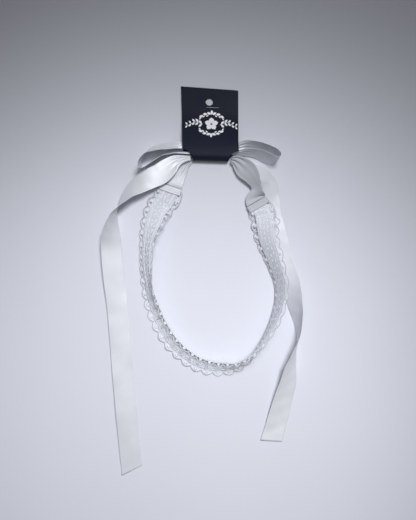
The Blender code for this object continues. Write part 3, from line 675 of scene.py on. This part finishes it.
def handled_cloth(name, grid, pleats):
    """How far each point stands off the smooth ribbon: pleats near the fold, soft creases all along."""
    share = np.linalg.norm(np.diff(grid, axis=1), axis=2).sum(axis=1) / RIBBON_W
    rng = np.random.default_rng(sum(map(ord, name)))
    t = np.linspace(0, 1, RIBBON_COLS)
    phase, lean = rng.uniform(0, 6.28), rng.uniform(-0.4, 0.4)
    middle = grid[:, RIBBON_COLS // 2]
    along_run = np.concatenate([[0], np.cumsum(np.linalg.norm(np.diff(middle, axis=0), axis=1))])
    lift = np.zeros(grid.shape[:2])
    for i, at in enumerate(along_run):
        s = min(share[i], 1.0)
        from_fold = min(at, along_run[-1] - at) if name.endswith("loop") else at
        deep = min(PLEAT_DEEP, RIBBON_W * s / (4 * pleats) * math.sqrt(max(1 / s ** 2 - 1, 0)) * 0.6)
        deep *= math.exp(-(max(0.0, from_fold - FOLD_GRIP) / PLEATS_FADE) ** 1.4)
        lift[i] = deep * np.sin(2 * math.pi * (pleats * t + lean * at / 60) + phase)
    for _ in range(7):                 # soft creases and waves of handled ribbon
        long, skew = rng.uniform(14, 55), rng.uniform(-1.1, 1.1)
        lift += rng.uniform(0.03, 0.11) * np.sin(
            2 * math.pi * (along_run[:, None] / long + skew * t[None, :]) + rng.uniform(0, 6.28))
    return lift


def lay_run(name, body, rows, pleats, slant, stations):
    """One stretch of ribbon, from its stations to a finished piece on its body."""
    is_leg = name.endswith("leg")
    if is_leg:
        stations, end, along = into_tab(stations, name.split("_")[0])
    grid, _ = cloth_grid(stations, RIBBON_W, RIBBON_ROOM, rows, RIBBON_COLS)
    if is_leg:
        square_to_tab(grid, end, along)
    if slant:
        cut_slanting(grid, slant)
    grid += grid_normals(grid) * handled_cloth(name, grid, pleats)[..., None]
    grid[..., 2] = np.maximum(grid[..., 2], RIBBON_T / 2 + FLOOR_GAP)
    # the right leg takes the darker back, painted shade for a leg turned away from the lamps
    piece, run = satin_strip(name + "_ribbon", grid, RIBBON_W, face_up=name in ("left_loop", "left_tail"),
                             back="back_painted_shade" if name == "right_leg" else "back")
    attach(piece, body)
    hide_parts(name)


for name, (body, held, rows, pleats, slant, stations) in RUNS.items():
    lay_run(name, body, rows, pleats, slant, stations)

# ------------------------------------------------------- knot and gathers
# Inside the card's fold both ribbons are crossed once and pulled small. What shows at the two
# notches is the gathered satin: many narrow pleats side by side, drawn in towards the knot.

card_at, card_turn = np.array([-0.75, -0.9]), math.radians(-1.8)


def on_card(x, y):
    """A place measured along and across the card's fold, in the routes' millimetres."""
    c, s = math.cos(card_turn), math.sin(card_turn)
    return card_at[0] + x * c - y * s, card_at[1] + x * s + y * c


KNOT_SIDES, KNOT_RINGS, WRAP_PITCH = 132, 40, 8
KNOT = {  # name: pleats, their depth, stops as x, y, height, half size in y, half size in z on the card
    "bow_knot": (9, 0.10, [
        (-7.2, 8, 5.5, 4.2, 2.3), (-5.6, 8, 5.5, 5.2, 3.0), (0, 8, 5.5, 5.6, 3.25),
        (5.6, 8, 5.5, 5.2, 3.0), (7.2, 8, 5.5, 4.2, 2.3)]),
    "left_gather": (11, 0.20, [
        (-7.6, 8, 5.5, 3.3, 2.0), (-10.5, 7.8, 5.5, 4.5, 2.5), (-14.0, 7.7, 5.5, 5.5, 2.75),
        (-17.0, 7.7, 5.5, 6.1, 2.8)]),
    "right_gather": (11, 0.20, [
        (7.6, 8, 5.5, 3.3, 2.0), (10.5, 7.8, 5.5, 4.5, 2.5), (14.0, 7.7, 5.5, 5.5, 2.75),
        (17.0, 7.7, 5.5, 6.1, 2.8)]),
}
for name, (pleats, deep, stops) in KNOT.items():
    path, _ = smooth_route(stops, KNOT_RINGS)
    sides = KNOT_SIDES
    turn = np.linspace(0, 2 * math.pi, sides, endpoint=False)
    rings = []
    for i, (x, y, z, ry, rz) in enumerate(path):
        if name == "bow_knot":         # the knot's wraps run round it, not along it
            wrap = 0.5 + 0.5 * math.cos(2 * math.pi * i / WRAP_PITCH)
            r = 1 - deep * wrap + 0.015 * np.sin(pleats * turn)
        else:
            r = 1 - deep * np.abs(np.sin(pleats / 2 * turn + 0.5 * math.sin(i / 9.0))) ** 0.7
        px, py = on_card(x, y + ry * r * np.cos(turn))
        rings.append(np.stack([px, py, z + rz * r * np.sin(turn)], 1))
    verts = np.concatenate(rings + [[rings[0].mean(axis=0)], [rings[-1].mean(axis=0)]])
    faces, n = [], len(path) * sides
    for i in range(len(path) - 1):
        for k in range(sides):
            a, b = i * sides + k, i * sides + (k + 1) % sides
            faces.append((a, b, b + sides, a + sides))
    for k in range(sides):
        b = (k + 1) % sides
        faces += [(n, b, k), (n + 1, n - sides + k, n - sides + b)]
    piece = new_piece(name + "_satin", verts, faces, satin_side["face"])
    uv = piece.data.uv_layers.new(name="cloth")
    corner = np.zeros(len(piece.data.loops), int)
    piece.data.loops.foreach_get("vertex_index", corner)
    uv.data.foreach_set("uv", np.stack([(corner % sides) * 0.03, (corner // sides) * 0.03], 1).ravel())
    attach(piece, "card")
    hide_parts(name)

# --------------------------------------------------------------------- card
# Navy board, 0.4 mm thick, folded once round the ribbons and stapled shut near the top, with a
# hang hole through both panels. It is cut on a press, so its edges are sharp.

card = bpy.data.objects["header_card"]
board_mat, tree, shader = node_material("navy_board", (0.016, 0.018, 0.030), 0.52)
fibre = fine_noise(tree, 900.0, 6.0, 0.7)
blotch = fine_noise(tree, 45.0, 3.0)
both = wire(tree, "ShaderNodeMix", {"Factor": 0.4}, data_type="FLOAT")
tree.links.new(fibre, both.inputs[2])
tree.links.new(blotch, both.inputs[3])
two_tones(tree, shader, both.outputs[0], 0.3, (0.0080, 0.0105, 0.024), 0.72, (0.0125, 0.0160, 0.034))
uneven_gloss(tree, shader, blotch, 0.44, 0.62)
relief(tree, shader, fibre, 0.12, 0.00008)
shader.inputs["Specular IOR Level"].default_value = 0.12
for slot in card.material_slots:
    slot.material = board_mat

# --------------------------------------------------------------- card print
# White foil pressed into the front panel: a five-petal blossom between two leafy sprigs, with a
# small spray above and below. The foil is only a film, so it follows the panel's bend.

foil_mat, tree, shader = node_material("white_foil", (0.82, 0.83, 0.86), 0.35)
press = fine_noise(tree, 1400.0, 4.0)
two_tones(tree, shader, press, 0.28, (0.84, 0.85, 0.89), 0.5, (0.97, 0.98, 1.0))
relief(tree, shader, press, 0.2, 0.00004)

bpy.ops.object.select_all(action="DESELECT")
bpy.ops.mesh.primitive_circle_add(vertices=16, radius=0.001, fill_type="TRIFAN", location=(0, 0, 0))
leaf = bpy.context.object
bpy.ops.object.mode_set(mode="EDIT")
bpy.ops.mesh.select_all(action="SELECT")
bpy.ops.transform.resize(value=(1.0, 0.42, 1.0))
bpy.ops.mesh.subdivide(number_cuts=1)
bpy.ops.object.mode_set(mode="OBJECT")
for v in leaf.data.vertices:           # both ends drawn out to a point
    v.co.y *= max(0.0, 1 - (abs(v.co.x) / 0.001) ** 3)

FILM_T, FILM_GAP = 0.00003, 0.00004
FLOWER_UP = 35.4                       # the blossom's middle, above the fold
MARKS = []                             # x, y above the fold, turn, length and width, mm and degrees
for k in range(5):
    a = 90 + 72 * k
    x, y = 3.6 * math.cos(math.radians(a)), FLOWER_UP + 3.6 * math.sin(math.radians(a))
    MARKS.append((x, y, a, 6.2, 4.9))
for side in (1, -1):
    for k in range(5):                 # a stem of five dashes, with a leaf above and below each
        x, y = 9.6 + 3.3 * k, FLOWER_UP + 1.9 * math.sin(k * 1.1)
        MARKS.append((side * x, y, side * 24 * math.cos(k * 1.1), 3.9, 0.55))
        for up in (1, -1):
            MARKS.append((side * (x + 1.0), y + up * 1.75, side * up * 46, 4.3 - 0.35 * k, 2.2 - 0.18 * k))
    for k in range(3):
        for row, way in ((46.0, 1), (24.8, -1)):
            upper, lower = row - way * (0.1 + 0.75 * k * k), row - way * (2.5 + 0.70 * k * k)
            MARKS.append((side * (2.6 + 3.7 * k), upper, side * way * (26 - 26 * k), 4.4, 2.3))
            MARKS.append((side * (4.2 + 3.4 * k), lower, -side * way * (34 + 8 * k), 2.9, 1.3))
for row in (47.0, 23.8):
    MARKS.append((0, row, 90, 4.6, 2.4))
copies = []
for x, y, turn, long, wide in MARKS:
    one = leaf.copy()
    one.data = leaf.data.copy()
    bpy.context.collection.objects.link(one)
    over_card = to_row((*on_card(x, y), 20.0))
    one.data.transform(Matrix.Translation(Vector(over_card))
                       @ Matrix.Rotation(math.radians(turn) + card_turn, 4, "Z")
                       @ Matrix.Diagonal((long / 2, wide / 0.84, 1.0, 1.0)))
    copies.append(one)
print_piece = join_copies(copies, "card_print")
bpy.data.objects.remove(leaf)
panel = BVHTree.FromObject(card, bpy.context.evaluated_depsgraph_get())
for v in print_piece.data.vertices:    # dropped on the panel, a hair above the board
    hit, _, _, _ = panel.ray_cast(v.co, Vector((0, 0, -1)))
    if hit is not None:
        v.co = hit + Vector((0, 0, FILM_GAP))
film_wall = print_piece.modifiers.new("film", "SOLIDIFY")
film_wall.thickness, film_wall.offset = FILM_T, 1.0
bpy.ops.object.modifier_apply(modifier="film")
print_piece.data.materials.clear()
print_piece.data.materials.append(foil_mat)
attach(print_piece, "card")

# ------------------------------------------------------------------- staple
# One 13 mm office staple of bright steel wire, driven through both panels just under the hole.
# Its crown lies on the front, its legs are clinched on the back.

steel_mat, tree, shader = node_material("bright_steel", (0.66, 0.67, 0.70), 0.3)
shader.inputs["Metallic"].default_value = 1.0
drawn = fine_noise(tree, 700.0, 3.0)
uneven_gloss(tree, shader, drawn, 0.2, 0.42)
relief(tree, shader, drawn, 0.1, 0.00003)
staple = bpy.data.objects["staple"]
for slot in staple.material_slots:
    slot.material = steel_mat

# ------------------------------------------------------------------ setting
# A plain pale table top, a soft lamp behind on the right, a wider one overhead, dim light from
# all round, and a camera that looks straight down.

floor_mat, tree, shader = node_material("pale_table", (0.72, 0.735, 0.79), 0.7)
matt = fine_noise(tree, 9.0, 3.0)
two_tones(tree, shader, matt, 0.0, (0.71, 0.72, 0.785), 1.0, (0.74, 0.75, 0.81))
shader.inputs["Specular IOR Level"].default_value = 0.2
bpy.ops.object.select_all(action="DESELECT")
bpy.ops.mesh.primitive_plane_add(size=4.0, location=(0, 0, 0))
floor = bpy.context.object
floor.name = "floor"
floor.data.materials.append(floor_mat)

for name, power, soft, half, target, stand in (
        ("window_lamp", 33.0, 0.15, 26.9, (-0.065, -0.296), (0.22, 0.50, 0.813)),
        ("ceiling_lamp", 11.0, 0.42, 29.9, (0.200, -0.191), (-0.20, 0.10, 1.10))):
    aim = Vector(fold_at) + Vector((target[0], target[1], 0.0))
    lamp_data = bpy.data.lights.new(name, "SPOT")
    lamp_data.energy = power
    lamp_data.color = (0.955, 0.97, 1.0)
    lamp_data.spot_size = 2 * math.radians(half)
    lamp_data.spot_blend = 1.0
    lamp_data.shadow_soft_size = soft
    lamp = bpy.data.objects.new(name, lamp_data)
    bpy.context.collection.objects.link(lamp)
    lamp.location = aim + Vector(stand)
    lamp.rotation_euler = (aim - lamp.location).to_track_quat("-Z", "Y").to_euler()

room_light = bpy.data.worlds.new("room")
bpy.context.scene.world = room_light
room_light.use_nodes = True
sky = room_light.node_tree.nodes["Background"]
sky.inputs["Color"].default_value = (0.93, 0.95, 1.0, 1)
sky.inputs["Strength"].default_value = 0.13

camera_data = bpy.data.cameras.new("camera")
camera_data.sensor_fit = "VERTICAL"
camera_data.sensor_height = 36.0
camera_data.lens = 31.0
camera = bpy.data.objects.new("camera", camera_data)
bpy.context.collection.objects.link(camera)
camera.location = Vector(fold_at) + Vector((-0.00288, -0.09504, 0.43))
bpy.context.scene.camera = camera
bpy.context.scene.view_settings.view_transform = "Standard"
